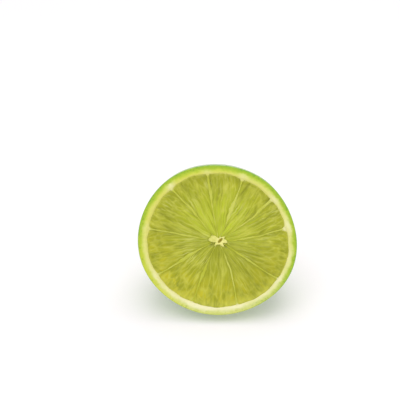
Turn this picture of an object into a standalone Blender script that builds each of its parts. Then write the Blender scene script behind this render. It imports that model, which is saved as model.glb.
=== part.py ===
"""Half a lime, cut crosswise, lying on a small flat spot of its rind.

The fruit is one solid. It is first shaped standing on its blossom end, with the cut face up:
the top of a sphere becomes the cut face, with its core, segments, membranes and pith in relief,
and the bottom becomes the rind. The half is then leaned back, cut flat where it rests, and
centred over the origin, with the cut face towards -Y.
"""

import math
import random

import bmesh
import bpy
from mathutils import Matrix, Vector

MM = 0.001

# The cut face, in millimetres and degrees. Angles run anticlockwise from the right of the face.
CUT_RADIUS = 26.3
OUTLINE_LOBES = (
    (1, 0.0138, 197.0),
    (2, 0.0285, -12.0),
    (3, 0.0052, -28.5),
    (4, 0.0025, -29.0),
    (5, 0.0045, -21.0),
)
MEMBRANE_ANGLES = (10.5, 36.7, 69.4, 98.3, 132.2, 169.1, 208.0, 248.0, 286.2, 326.1)
PULP_MARGIN = 2.7
PULP_CORNER = 0.55
PULP_GAP = 0.35
PITH_WIDTH = 1.5
LIP = 0.3
LIP_FADE = 12

# The core: a longish star of pith with a slit in it, off its middle
CORE_LONG = 3.3
CORE_SHORT = 1.8
CORE_TURN = -8.0
CORE_POINT = 0.45
SLIT_AT = (0.8, 0.2)
SLIT_LONG = 1.0
SLIT_SHORT = 0.4
SLIT_TURN = 52.0
SLIT_DEPTH = 1.4

# Heights of the relief on the cut face
MEMBRANE_HALF = 0.24
GROOVE_WIDTH = 0.4
MEMBRANE_RISE = 0.16
GROOVE_DEPTH = 0.3
PULP_DOME = 0.34
VESICLE_RISE = 0.13
PITH_RISE = 0.12
CORE_RISE = 0.25
MEMBRANE_SWAY = 1.1

# The rind: a barrel-like turned form, cut a little past its widest place
HALF_LENGTH = 30.5
CUT_PAST_WIDEST = 2.6
FULLNESS = 2.25
NIPPLE_HEIGHT = 2.2
NIPPLE_RADIUS = 5.6
FURROW_DEPTH = 0.4
FURROW_RADIUS = 10.5
FURROW_WIDTH = 2.6
SCAR_DEPTH = 0.3
RIND_SWELL = 0.12

# How the half lies
LEAN = 22.0
FLAT_DEPTH = 1.2
SNAP = 0.06

# Mesh density
SEGMENTS = len(MEMBRANE_ANGLES)
COLUMNS_A_SEGMENT = 12
COLUMNS = SEGMENTS * COLUMNS_A_SEGMENT
CORE_RINGS = 4
PULP_RINGS = 13
PITH_RINGS = 4
FACE_RINGS = CORE_RINGS + PULP_RINGS + PITH_RINGS
RIND_RINGS = 20
RINGS = FACE_RINGS + RIND_RINGS + 1

VESICLE_SEED = 7


def wave(angle, lobes):
    """Sum of cosine lobes at an angle in degrees, each lobe being (count, share, angle of a crest)."""
    return sum(share * math.cos(count * math.radians(angle - crest)) for count, share, crest in lobes)


def outline_radius(angle):
    """Radius of the cut's outer edge, measured from the core."""
    return CUT_RADIUS * (1 + wave(angle, OUTLINE_LOBES))


def core_radius(angle, point=0.0):
    """Radius of the core's edge, an ellipse drawn out by point, from 0 to 1, where a membrane leaves it."""
    turned = math.radians(angle - CORE_TURN)
    ellipse = 1 / math.hypot(math.cos(turned) / CORE_LONG, math.sin(turned) / CORE_SHORT)
    return ellipse + CORE_POINT * point


def segment_span(segment):
    """Start and end angle of a segment, in degrees."""
    start = MEMBRANE_ANGLES[segment]
    end = MEMBRANE_ANGLES[(segment + 1) % SEGMENTS]
    return start, end if end > start else end + 360


def sway(angle, radius):
    """Degrees by which a membrane strays from a straight line at a radius."""
    reach = radius / CUT_RADIUS
    return MEMBRANE_SWAY * math.sin(math.pi * 1.6 * reach + math.radians(3.7 * angle)) * (1 - reach)


def segment_angle(segment, column, radius):
    """Angle of a column at a radius: a column on the membrane, its flank and groove, then the pulp."""
    start, end = segment_span(segment)
    start += sway(start, radius)
    end += sway(end, radius)
    span = end - start
    flank = min(math.degrees(MEMBRANE_HALF / radius), 0.2 * span)
    groove = min(math.degrees((MEMBRANE_HALF + GROOVE_WIDTH) / radius), 0.36 * span)
    last = COLUMNS_A_SEGMENT - 1
    offsets = {0: 0.0, 1: flank, 2: groove, last - 1: span - groove, last: span - flank}
    if column in offsets:
        return start + offsets[column]
    share = (column - 2) / (last - 3)
    return start + groove + share * (span - 2 * groove)


def even_angle(segment, column):
    """Angle of a column when all are spaced evenly, as on the rind."""
    return MEMBRANE_ANGLES[0] + 360 * (segment * COLUMNS_A_SEGMENT + column) / COLUMNS


def dome(share):
    """A flat-topped rise from 0 through 1 and back to 0 as share goes from 0 to 1."""
    return 1 - abs(2 * share - 1) ** 3


class VesicleRelief:
    """Heights of the juice vesicles, which run outwards side by side in each segment."""

    def __init__(self, seed):
        draw = random.Random(seed)
        self.lengths = [[draw.uniform(0.7, 1.3) for _ in range(COLUMNS_A_SEGMENT)] for _ in range(SEGMENTS)]
        self.shifts = [[draw.uniform(-0.5, 0.5) for _ in range(COLUMNS_A_SEGMENT)] for _ in range(SEGMENTS)]

    def height(self, segment, column, reach):
        """Height at a column, for reach from 0 at the core to 1 at the pith."""
        side = 1 if column % 2 else -1
        length = self.lengths[segment][column]
        shift = self.shifts[segment][column]
        swing = math.cos(1.5 * math.pi * (reach * length + shift) - math.pi)
        return VESICLE_RISE * side * swing * dome(reach)


def pulp_height(segment, column, reach, vesicles):
    """Relief of a segment: a proud membrane, a groove beside it and a low dome of pulp."""
    last = COLUMNS_A_SEGMENT - 1
    if column == 0:
        return MEMBRANE_RISE
    if column in (1, last):
        return 0.3 * MEMBRANE_RISE
    if column in (2, last - 1):
        return -GROOVE_DEPTH * (0.4 + 0.6 * dome(reach))
    across = (column - 1) / (last - 1)
    return PULP_DOME * dome(across) * dome(reach) - 0.5 * PULP_DOME + vesicles.height(segment, column, reach)


def slit_point(angle, scale):
    """Point on the slit in the core, as an ellipse of the given scale."""
    turned = math.radians(angle - SLIT_TURN)
    along = scale * SLIT_LONG * math.cos(turned)
    across = scale * SLIT_SHORT * math.sin(turned)
    turn = math.radians(SLIT_TURN)
    return (
        SLIT_AT[0] + along * math.cos(turn) - across * math.sin(turn),
        SLIT_AT[1] + along * math.sin(turn) + across * math.cos(turn),
    )


def polar(angle, radius):
    """Point on the face at an angle in degrees and a radius."""
    return radius * math.cos(math.radians(angle)), radius * math.sin(math.radians(angle))


def core_place(ring, segment, column):
    """Place of a vertex on the core: the slit's floor, its lip, the core's crown and its edge."""
    angle = segment_angle(segment, column, CORE_LONG)
    at_membrane = 1.0 if column == 0 else 0.0
    edge = core_radius(angle, at_membrane)
    if ring == 1:
        return (*slit_point(angle, 0.7), -SLIT_DEPTH)
    if ring == 2:
        return (*slit_point(angle, 1.0), CORE_RISE)
    crown = Vector(polar(angle, edge)).lerp(Vector(slit_point(angle, 1.0)), 0.45)
    if ring == 3:
        return (*crown, CORE_RISE)
    return (*polar(angle, edge), 0.4 * CORE_RISE)


def pulp_place(ring, segment, column, vesicles):
    """Place of a vertex on a segment's pulp or on a membrane."""
    reach = (ring - CORE_RINGS - 1) / (PULP_RINGS - 1)
    guess = segment_angle(segment, column, CUT_RADIUS / 2)
    at_membrane = 1.0 if column == 0 else 0.0
    inner = core_radius(guess, at_membrane) + PULP_GAP
    start, end = segment_span(segment)
    across = (guess - start) / (end - start)
    outer = outline_radius(guess) - PULP_MARGIN - PULP_CORNER * (1 - dome(across))
    radius = inner + reach * (outer - inner)
    angle = segment_angle(segment, column, radius)
    return (*polar(angle, radius), pulp_height(segment, column, reach, vesicles))


def peel_place(ring, segment, column):
    """Place of a vertex on the cut through the peel: two rings of pith, one of zest and the lip."""
    angle = segment_angle(segment, column, CUT_RADIUS)
    step = ring - CORE_RINGS - PULP_RINGS
    edge = outline_radius(angle)
    pith_middle = PULP_MARGIN - PITH_WIDTH / 2
    inset = {1: PULP_MARGIN - LIP, 2: pith_middle, 3: PULP_MARGIN - PITH_WIDTH, 4: LIP}[step]
    rise = {1: PITH_RISE, 2: PITH_RISE, 3: 0.3 * PITH_RISE, 4: 0.0}[step]
    return (*polar(angle, edge - inset), rise)


def nipple_drop(radius):
    """How far the blossom end stands out below the barrel form, with the furrow around it and its scar."""
    nipple = NIPPLE_HEIGHT * math.exp(-((radius / NIPPLE_RADIUS) ** 2))
    furrow = FURROW_DEPTH * math.exp(-(((radius - FURROW_RADIUS) / FURROW_WIDTH) ** 2))
    scar = SCAR_DEPTH * math.exp(-(radius**2))
    return nipple - furrow - scar


def rind_place(ring, segment, column):
    """Place of a vertex on the rind, from just under the lip to the blossom end."""
    share = (ring - FACE_RINGS - 1) / RIND_RINGS
    share *= 1 + 0.3 * (1 - share)
    power = 2 / FULLNESS
    start = math.asin((CUT_PAST_WIDEST / HALF_LENGTH) ** (1 / power))
    turn = start - share * (start + math.pi / 2)
    along = HALF_LENGTH * math.copysign(abs(math.sin(turn)) ** power, turn)
    around = (math.cos(turn) / math.cos(start)) ** power if share < 1 else 0.0
    settle = min(1.0, 3 * share)
    angle = segment_angle(segment, column, CUT_RADIUS)
    angle += settle * (even_angle(segment, column) - angle)
    lobes = 1 + around * wave(angle, OUTLINE_LOBES)
    swell = RIND_SWELL * math.sin(math.radians(4 * angle) + 5 * share) * math.sin(math.pi * share)
    radius = around * CUT_RADIUS * lobes + swell * around
    height = along - CUT_PAST_WIDEST - nipple_drop(radius)
    return (*polar(angle, radius), height - LIP * (1 - share) ** LIP_FADE)


def place(ring, segment, column, vesicles):
    """Place, in millimetres, of the vertex on a ring and a column. The cut face lies at height 0."""
    if ring == 0:
        return (*SLIT_AT, -SLIT_DEPTH)
    if ring <= CORE_RINGS:
        return core_place(ring, segment, column)
    if ring <= CORE_RINGS + PULP_RINGS:
        return pulp_place(ring, segment, column, vesicles)
    if ring <= FACE_RINGS:
        return peel_place(ring, segment, column)
    return rind_place(ring, segment, column)


def shape_half(mesh):
    """Turns a unit sphere with a ring and a column for each place into the standing half."""
    vesicles = VesicleRelief(VESICLE_SEED)
    for vertex in mesh.verts:
        ring = round(math.acos(max(-1.0, min(1.0, vertex.co.z))) / math.pi * RINGS)
        step = round(math.atan2(vertex.co.y, vertex.co.x) / (2 * math.pi) * COLUMNS) % COLUMNS
        segment, column = divmod(step, COLUMNS_A_SEGMENT)
        vertex.co = Vector(place(ring, segment, column, vesicles)) * MM


def material_slot(ring):
    """Material slot of a face whose outermost vertex is on a ring."""
    if ring <= CORE_RINGS:
        return 0
    if ring <= CORE_RINGS + PULP_RINGS:
        return 1
    if ring < FACE_RINGS:
        return 0
    return 2


def colour_faces(mesh):
    """Gives each face of the unit sphere the material slot of its ring."""
    for face in mesh.faces:
        lowest = min(vertex.co.z for vertex in face.verts)
        face.material_index = material_slot(round(math.acos(max(-1.0, lowest)) / math.pi * RINGS))


def lean_and_rest(mesh):
    """Leans the half back, cuts its resting spot flat at z = 0 and centres it over the origin."""
    bmesh.ops.transform(mesh, matrix=Matrix.Rotation(math.radians(90 - LEAN), 4, "X"), verts=mesh.verts)
    lowest = min(vertex.co.z for vertex in mesh.verts)
    bmesh.ops.translate(mesh, verts=mesh.verts, vec=(0, 0, -lowest - FLAT_DEPTH * MM))
    everything = mesh.verts[:] + mesh.edges[:] + mesh.faces[:]
    cut = bmesh.ops.bisect_plane(
        mesh, geom=everything, dist=SNAP * MM, plane_co=(0, 0, 0), plane_no=(0, 0, 1), clear_inner=True
    )
    rim = [item for item in cut["geom_cut"] if isinstance(item, bmesh.types.BMEdge)]
    for vertex in {vertex for edge in rim for vertex in edge.verts}:
        vertex.co.z = 0.0
    spot = bmesh.ops.edgeloop_fill(mesh, edges=rim, mat_nr=2)
    bmesh.ops.recalc_face_normals(mesh, faces=mesh.faces)
    for face in spot["faces"]:
        face.smooth = False
    centre_over_origin(mesh)


def centre_over_origin(mesh):
    """Puts the middle of the half's box over the origin."""
    for axis in (0, 1):
        sides = [vertex.co[axis] for vertex in mesh.verts]
        middle = (min(sides) + max(sides)) / 2
        for vertex in mesh.verts:
            vertex.co[axis] -= middle


def skin_material(name, colour, roughness):
    """A Principled material with a plain colour and roughness."""
    material = bpy.data.materials.new(name)
    material.use_nodes = True
    shader = material.node_tree.nodes["Principled BSDF"]
    shader.inputs["Base Color"].default_value = (*colour, 1)
    shader.inputs["Roughness"].default_value = roughness
    shader.inputs["Metallic"].default_value = 0
    material.diffuse_color = (*colour, 1)
    return material


def build_lime_half(collection):
    """Makes the half and its three materials."""
    mesh = bmesh.new()
    bmesh.ops.create_uvsphere(mesh, u_segments=COLUMNS, v_segments=RINGS, radius=1)
    colour_faces(mesh)
    for face in mesh.faces:
        face.smooth = True
    shape_half(mesh)
    lean_and_rest(mesh)
    data = bpy.data.meshes.new("lime_half")
    mesh.to_mesh(data)
    mesh.free()
    data.materials.append(skin_material("pith", (0.76, 0.74, 0.35), 0.6))
    data.materials.append(skin_material("pulp", (0.42, 0.44, 0.05), 0.3))
    data.materials.append(skin_material("rind", (0.18, 0.38, 0.04), 0.4))
    half = bpy.data.objects.new("lime_half", data)
    collection.objects.link(half)
    return half


def clear_scene():
    """Removes every object of the scene."""
    for thing in list(bpy.data.objects):
        bpy.data.objects.remove(thing)


def main():
    clear_scene()
    collection = bpy.data.collections.new("lime")
    bpy.context.scene.collection.children.link(collection)
    build_lime_half(collection)


main()
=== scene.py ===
import logging
import math
from dataclasses import dataclass, field
from enum import Enum
from typing import Sequence, TypeAlias

import bmesh
import bpy
import numpy as np
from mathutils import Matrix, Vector, noise


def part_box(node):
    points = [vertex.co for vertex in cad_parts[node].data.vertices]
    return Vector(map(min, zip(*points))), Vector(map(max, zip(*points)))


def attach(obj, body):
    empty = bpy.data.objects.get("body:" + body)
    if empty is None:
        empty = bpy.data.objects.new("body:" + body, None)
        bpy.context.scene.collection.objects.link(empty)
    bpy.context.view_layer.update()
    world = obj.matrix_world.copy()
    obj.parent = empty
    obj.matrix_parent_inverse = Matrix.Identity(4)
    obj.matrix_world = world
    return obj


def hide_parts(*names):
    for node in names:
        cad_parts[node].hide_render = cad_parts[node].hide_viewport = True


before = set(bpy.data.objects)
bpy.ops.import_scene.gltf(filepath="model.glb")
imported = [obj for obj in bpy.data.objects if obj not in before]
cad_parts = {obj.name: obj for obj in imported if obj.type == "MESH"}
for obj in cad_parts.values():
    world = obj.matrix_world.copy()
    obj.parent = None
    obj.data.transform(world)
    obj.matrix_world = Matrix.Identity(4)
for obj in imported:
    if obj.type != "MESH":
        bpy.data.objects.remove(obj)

# Half a lime, cut crosswise, dressed over its CAD solid. Lengths are in millimetres and angles in
# degrees until a mesh is placed. A point of the fruit is (across, up, out): across and up lie in
# the cut face, anticlockwise angles start at the right of the face, and out is the way it looks.

LOG = logging.getLogger("lime")
MM = 0.001
BODY = "root"
NODE = "lime_half"
# Fixes the noise that bends the vesicles, so that each run gives the same fruit.
NOISE_SEED = 1

# Steps that give each membrane and each segment noise of its own.
WAVER_STEP = 9.1
RAGGED_STEP = 3.3
RIPPLE_STEP = 5.3
VESICLE_STEP = 13.7
GRAIN_STEP = 7.0

Rows: TypeAlias = np.ndarray
Table: TypeAlias = tuple[tuple[float, ...], ...]
Tint: TypeAlias = tuple[float, float, float, float]
Link: TypeAlias = "Wire | float | tuple | None"


def linear(red: int, green: int, blue: int) -> Tint:
    """Turns a display colour, 0 to 255, into the linear colour that a shader takes."""
    shares = [value / 255 for value in (red, green, blue)]
    return (*[s / 12.92 if s <= 0.04045 else ((s + 0.055) / 1.055) ** 2.4 for s in shares], 1.0)


def stops(*parts: tuple[float, tuple[int, int, int]]) -> tuple[tuple[float, Tint], ...]:
    """Turns places and display colours into the stops of a colour ramp."""
    return tuple((place, linear(*colour)) for place, colour in parts)


def smooth(low: float, high: float, value: Rows) -> Rows:
    """Rises smoothly from 0 at the low value to 1 at the high one."""
    share = np.clip((value - low) / (high - low), 0, 1)
    return share * share * (3 - 2 * share)


def toward(angle: Rows, middle: float, low: float, high: float) -> Rows:
    """Rises towards an angle, while the cosine of the turn to it goes from low to high."""
    return smooth(low, high, np.cos(np.radians(angle - middle)))


def hump(value: Rows, middle: float, width: float) -> Rows:
    """Gives a soft hump, 1 in its middle."""
    return np.exp(-(((value - middle) / width) ** 2))


def round_hump(angle: Rows, middle: float, width: float) -> Rows:
    """Gives a soft hump about an angle, past a full turn too."""
    return hump((angle - middle + 180) % 360 - 180, 0.0, width)


def waves(parts: Table, angle: Rows) -> Rows:
    """Adds up waves round the core, each a count, a size and the angle of a crest."""
    return sum(size * np.cos(count * np.radians(angle - crest)) for count, size, crest in parts)


def places(across: Rows, up: Rows, out: Rows) -> Rows:
    """Joins three values into points."""
    return np.stack(np.broadcast_arrays(across, up, out), axis=-1)


def polar(angle: Rows, radius: Rows, out: Rows) -> Rows:
    """Gives points of the fruit from angles, radii and heights."""
    turn = np.radians(angle)
    return places(radius * np.cos(turn), radius * np.sin(turn), out)


def roughness(points: Rows) -> Rows:
    """Reads soft noise, from -1 to 1, at each point."""
    values = [noise.noise(Vector(point)) for point in points.reshape(-1, 3)]
    return np.array(values).reshape(points.shape[:-1])


def oval(points: Rows, across: float, up: float, wide: float, high: float) -> Rows:
    """Gives a soft oval spot on the face, 1 in its middle."""
    return hump(points[..., 0], across, wide) * hump(points[..., 1], up, high)


class Sum(Enum):
    """The sums that a Math node does."""

    ADD = "ADD"
    SUBTRACT = "SUBTRACT"
    MULTIPLY = "MULTIPLY"


class Wire:
    """A shader socket that takes part in arithmetic."""

    def __init__(self, recipe: "Recipe", socket: bpy.types.NodeSocket) -> None:
        """Keeps the socket."""
        self.recipe = recipe
        self.socket = socket

    def __add__(self, other: "Wire | float") -> "Wire":
        """Adds."""
        return self.recipe.maths(Sum.ADD, self, other)

    __radd__ = __add__

    def __mul__(self, other: "Wire | float") -> "Wire":
        """Multiplies."""
        return self.recipe.maths(Sum.MULTIPLY, self, other)

    __rmul__ = __mul__

    def __sub__(self, other: "Wire | float") -> "Wire":
        """Subtracts."""
        return self.recipe.maths(Sum.SUBTRACT, self, other)

    def __rsub__(self, other: float) -> "Wire":
        """Subtracts this from a number."""
        return self.recipe.maths(Sum.SUBTRACT, other, self)

    def clamp(self) -> "Wire":
        """Keeps the value between 0 and 1."""
        return self.recipe.node("ShaderNodeClamp", {}, [self])

    def rise(self, low: float, high: float) -> "Wire":
        """Rises smoothly from 0 at the low value to 1 at the high one."""
        settings = {"interpolation_type": "SMOOTHSTEP"}
        return self.recipe.node("ShaderNodeMapRange", settings, [self, low, high])


class Recipe:
    """A procedural material and the nodes that it is mixed from."""

    def __init__(self, name: str) -> None:
        """Starts a material with a plain Principled shader.

        Args:
            name: The material's name.
        """
        self.material = bpy.data.materials.new(name)
        self.material.use_nodes = True
        self.tree = self.material.node_tree
        self.shader = self.tree.nodes["Principled BSDF"]

    def put(self, socket: bpy.types.NodeSocket, value: Link) -> None:
        """Sets an input to a value, or links it.

        Args:
            socket: The input.
            value: A number, a colour, a wire, or nothing.
        """
        if isinstance(value, Wire):
            self.tree.links.new(value.socket, socket)
        elif value is not None:
            socket.default_value = value

    def node(
        self, kind: str, settings: dict, inputs: Sequence[Link] | dict[str, Link], output: int = 0
    ) -> Wire:
        """Adds a node.

        Args:
            kind: The node's type.
            settings: Its properties, set before its inputs. The stops of a ramp are (place, colour).
            inputs: Values or wires, in the order of its sockets or by name.
            output: Which output to read.

        Returns:
            That output.
        """
        made = self.tree.nodes.new(kind)
        for name, value in settings.items():
            if name == "stops":
                self.set_stops(made.color_ramp, value)
            else:
                setattr(made, name, value)
        pairs = inputs.items() if isinstance(inputs, dict) else enumerate(inputs)
        for key, value in pairs:
            self.put(made.inputs[key], value)
        return Wire(self, made.outputs[output])

    @staticmethod
    def set_stops(ramp: bpy.types.ColorRamp, stops: Sequence[tuple[float, Tint]]) -> None:
        """Fills a colour ramp.

        Args:
            ramp: The ramp.
            stops: Its (place, colour) pairs, in order.
        """
        while len(ramp.elements) < len(stops):
            ramp.elements.new(1.0)
        for element, (place, colour) in zip(ramp.elements, stops):
            element.position = place
            element.color = colour

    def maths(self, kind: Sum, first: Link, second: Link) -> Wire:
        """Adds a Math node."""
        return self.node("ShaderNodeMath", {"operation": kind.value}, [first, second])

    def field(self, name: str) -> Wire:
        """Reads a number stored on the mesh's points."""
        return self.node("ShaderNodeAttribute", {"attribute_name": name}, [], output=2)

    def vector_field(self, name: str) -> Wire:
        """Reads a vector stored on the mesh's points."""
        return self.node("ShaderNodeAttribute", {"attribute_name": name}, [], output=1)

    def place(self) -> Wire:
        """Gives the point's place in the object, in metres."""
        return self.node("ShaderNodeTexCoord", {}, [], output=3)

    def speckle(self, at: Wire, scale: float, detail: float = 2.0, warp: float = 0.0) -> Wire:
        """Adds soft random variation."""
        inputs = {"Vector": at, "Scale": scale, "Detail": detail, "Distortion": warp}
        return self.node("ShaderNodeTexNoise", {}, inputs)

    def pores(self, at: Wire, scale: float) -> Wire:
        """Gives the distance to the nearest of many scattered points."""
        return self.node("ShaderNodeTexVoronoi", {"feature": "F1"}, {"Vector": at, "Scale": scale})

    def mix(self, first: Link, second: Link, share: Link) -> Wire:
        """Mixes a share of the second colour into the first."""
        settings = {"data_type": "RGBA", "blend_type": "MIX", "clamp_factor": True}
        return self.node("ShaderNodeMix", settings, {0: share, 6: first, 7: second}, output=2)

    def bump(self, height: Wire, strength: float, distance: float, below: Wire | None = None) -> Wire:
        """Adds a Bump node."""
        inputs = {"Height": height, "Strength": strength, "Distance": distance, "Normal": below}
        return self.node("ShaderNodeBump", {}, inputs)

    def finish(self, **inputs: Link) -> bpy.types.Material:
        """Sets the shader's inputs.

        Args:
            inputs: Values or wires by socket name, with underscores for blanks.

        Returns:
            The finished material.
        """
        for name, value in inputs.items():
            self.put(self.shader.inputs[name.replace("_", " ")], value)
        return self.material


@dataclass(frozen=True)
class Fruit:
    """The sizes that the rind, the pulp and the membranes share, as in the CAD solid."""

    # Waves are a count, a size and the angle of a crest.
    cut_radius: float = 26.3
    lobes: Table = (
        (1, 0.0138, 197.0), (2, 0.0285, -12.0), (3, 0.0052, -28.5), (4, 0.0025, -29.0),
        (5, 0.0045, -21.0),
    )
    membranes: tuple[float, ...] = (11.6, 38.2, 69.6, 99.9, 132.7, 169.9, 210.6, 248.2, 287.0, 327.5)
    # How far each membrane lies aside, in millimetres, at the radii of path_at.
    path_at: tuple[float, ...] = (0.0, 5.5, 10.5, 15.0, 18.5, 22.5)
    paths: Table = (
        (0.0, -1.1, -1.2, -1.15, -0.6, -0.4), (0.0, -0.6, -0.8, -0.9, -0.35, 0.0),
        (0.0, -0.5, -0.3, -0.4, -0.5, 0.0), (0.0, 0.0, 0.1, 0.0, 0.0, 0.0),
        (0.0, 0.2, -0.2, -0.45, -0.1, 0.0), (0.0, 0.35, 0.4, 0.35, 0.35, 0.6),
        (0.0, -0.6, -0.5, -0.15, 0.0, 0.0), (0.0, -0.4, -0.45, -0.4, -0.15, 0.0),
        (0.0, 0.75, 1.15, 0.9, 0.5, 0.0), (0.0, 0.0, 0.0, -0.15, -0.25, 0.0),
    )
    corners: tuple[float, ...] = (0.75, 0.3, 0.4, 0.35, 0.35, 0.4, 0.3, 0.2, 0.35, 0.25)
    pulp_margin: float = 2.95
    margin_waves: Table = (
        (1, 0.19, 140.0), (2, 0.17, 16.0), (3, 0.08, 49.0), (4, 0.09, -31.0), (5, 0.05, -25.0),
    )
    path_steps: tuple[float, ...] = (-1.2, -0.6, 0.0, 0.6, 1.2)
    waver: float = 0.14
    waver_count: float = 0.32
    steady_radius: float = 1.5
    ripple: float = 0.3
    ripple_count: float = 0.11
    # Half a membrane's thickness at the core, what it gains outwards, and its unevenness.
    thin_half: float = 0.1
    half_gain: float = 0.13
    ragged: float = 0.09
    ragged_band: float = 0.6
    ragged_count: float = 0.8
    half_length: float = 30.5
    cut_past_widest: float = 2.6
    fullness: float = 2.25
    nipple_height: float = 2.2
    nipple_radius: float = 5.6
    furrow_depth: float = 0.4
    furrow_radius: float = 10.5
    furrow_width: float = 2.6
    scar_depth: float = 0.3
    scar_radius: float = 1.0
    lip: float = 0.3
    core_base: float = 1.1
    core_aside: tuple[float, float] = (0.15, -0.38)
    core_fraying: float = 0.25
    core_fray_radius: float = 2.2
    # Arms of an angle, a length and a width.
    core_arms: Table = (
        (177.0, 2.3, 20.0), (148.0, 1.7, 15.0), (127.0, 1.0, 13.0), (63.0, 0.65, 12.0), (31.0, 1.5, 14.0),
        (3.0, 1.15, 14.0), (347.0, 1.75, 13.0), (312.0, 1.3, 13.0), (238.0, 0.8, 13.0),
    )
    flares: tuple[float, ...] = (0.6, 0.3, 0.45, 0.35, 0.35, 0.35, 0.3, 0.1, 0.25, 0.25)
    flare_length: float = 0.6
    # Where each membrane lies flat: radius, half width, and how clearly it shows.
    bands: Table = (
        (9.0, 0.12, 0.7), (18.0, 0.3, 0.95), (11.6, 0.5, 1.15), (17.0, 0.35, 0.9), (14.0, 0.2, 0.8),
        (12.0, 0.12, 0.6), (12.1, 0.45, 0.8), (13.0, 0.35, 0.3), (8.0, 0.08, 1.15), (10.0, 0.15, 0.6),
    )
    band_length: float = 3.2
    # How pale the pith is: its mean, its palest side, where a membrane meets it, and patches of an
    # angle, a width and a strength.
    pith_pale: float = 0.36
    palest_at: float = 290.0
    junction: tuple[float, float] = (4.0, 0.22)
    pith_patches: Table = (
        (262.0, 28.0, 0.35), (1.0, 6.0, -0.18), (15.0, 4.0, 0.2), (35.0, 5.0, 0.14), (68.0, 5.0, 0.1),
        (131.5, 3.2, 0.4),
        (168.0, 8.0, -0.14), (228.0, 9.0, 0.12), (273.0, 7.0, -0.14), (298.0, 5.0, -0.2),
        (338.0, 6.0, -0.2), (355.0, 5.0, -0.12),
    )

    def outline(self, angle: Rows) -> Rows:
        """Gives the radius of the cut's outer edge."""
        return self.cut_radius * (1 + waves(self.lobes, angle))

    def margin(self, angle: Rows) -> Rows:
        """Gives the thickness of the peel at the cut, which isn't even."""
        return self.pulp_margin + waves(self.margin_waves, angle)

    def span(self, segment: int) -> tuple[float, float]:
        """Gives the angles of the membranes on a segment's two sides, the lower one first."""
        start, end = self.membranes[segment], self.membranes[(segment + 1) % len(self.membranes)]
        return start, end if end > start else end + 360

    def membrane_angle(self, number: int, radius: Rows) -> Rows:
        """Gives a membrane's angle along its length, which bends and wavers a little.

        Args:
            number: The membrane's number, from 0. After the last comes the first, a full turn on.
            radius: Radii along it.

        Returns:
            Its angles.
        """
        turns, index = divmod(number, len(self.membranes))
        path, steps = self.paths[index], self.path_steps
        aside = sum(np.interp(radius + step, self.path_at, path) for step in steps) / len(steps)
        waver = roughness(places(radius * self.waver_count, WAVER_STEP * index, 0.0))
        aside = aside * smooth(0.0, 2.0, radius) + self.waver * waver
        angle = np.degrees(aside / np.maximum(radius, self.steady_radius))
        return self.membranes[index] + angle + 360 * turns

    def membrane_half(self, number: int, radius: Rows) -> Rows:
        """Gives half a membrane's thickness, wider where it lies flat and where it meets the pith.

        Args:
            number: The membrane's number.
            radius: Radii along it.

        Returns:
            Half thicknesses.
        """
        index = number % len(self.membranes)
        band_at, band_width, _ = self.bands[index]
        band = band_width * hump(radius, band_at, self.band_length)
        waver = roughness(places(radius * self.ragged_count, RAGGED_STEP * index, 5.0))
        plain = self.thin_half + self.half_gain * smooth(2.5, 9.0, radius)
        return plain + band + (self.ragged + self.ragged_band * band) * waver + self.flare(index, radius)

    def pulp_edge(self, segment: int, angle: Rows) -> Rows:
        """Gives the radius where a segment's pulp meets the pith, drawn in at its two corners.

        Args:
            segment: The segment's number.
            angle: Angles within it.

        Returns:
            The radii.
        """
        start, end = self.span(segment)
        across = 2 * (angle - start) / (end - start) - 1
        after = self.corners[(segment + 1) % len(self.corners)]
        corner = self.corners[segment] * np.clip(-across, 0, 1) ** 3 + after * np.clip(across, 0, 1) ** 3
        ripple = roughness(places(angle * self.ripple_count, segment * RIPPLE_STEP, 2.0))
        return self.outline(angle) - self.margin(angle) - corner + self.ripple * ripple

    def pith_edge(self, angle: Rows) -> Rows:
        """Gives the radius of the pith's inner edge all round.

        Args:
            angle: Angles from 0 to 360.

        Returns:
            The radii.
        """
        first = self.membranes[0]
        turned = first + (angle - first) % 360
        edge = np.zeros_like(turned)
        for segment in range(len(self.membranes)):
            start, end = self.span(segment)
            inside = (turned >= start) & (turned <= end)
            edge[inside] = self.pulp_edge(segment, turned[inside])
        return edge

    def pith_paleness(self, angle: Rows) -> Rows:
        """Gives how pale the pith is, most at the foot of the cut and where a membrane meets it.

        Args:
            angle: Angles round the core.

        Returns:
            Values from 0 to 1.
        """
        pale = self.pith_pale * (1 + np.cos(np.radians(angle - self.palest_at)))
        junctions = [(membrane, *self.junction) for membrane in self.membranes]
        for middle, width, share in (*self.pith_patches, *junctions):
            pale = pale + share * round_hump(angle, middle, width)
        return np.clip(pale, 0, 1)

    def foot(self, index: int) -> float:
        """Gives the radius where a membrane runs into the pith."""
        angle = self.membranes[index]
        return float(self.outline(angle) - self.margin(angle) - self.corners[index])

    def flare(self, index: int, radius: Rows) -> Rows:
        """Gives how far a membrane widens to either side where it runs into the pith."""
        return self.flares[index] * np.exp(-np.maximum(self.foot(index) - radius, 0) / self.flare_length)

    def core_edge(self, angle: Rows) -> Rows:
        """Gives the radius of the core, a star with uneven arms.

        Args:
            angle: Angles round the core.

        Returns:
            The radii.
        """
        turn = np.radians(angle)
        edge = self.core_base + self.core_aside[0] * np.cos(turn) + self.core_aside[1] * np.sin(turn)
        for arm, length, width in self.core_arms:
            edge = edge + length * round_hump(angle, arm, width)
        return edge * (1 + self.core_fraying * roughness(polar(angle, self.core_fray_radius, 4.0)))

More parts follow.
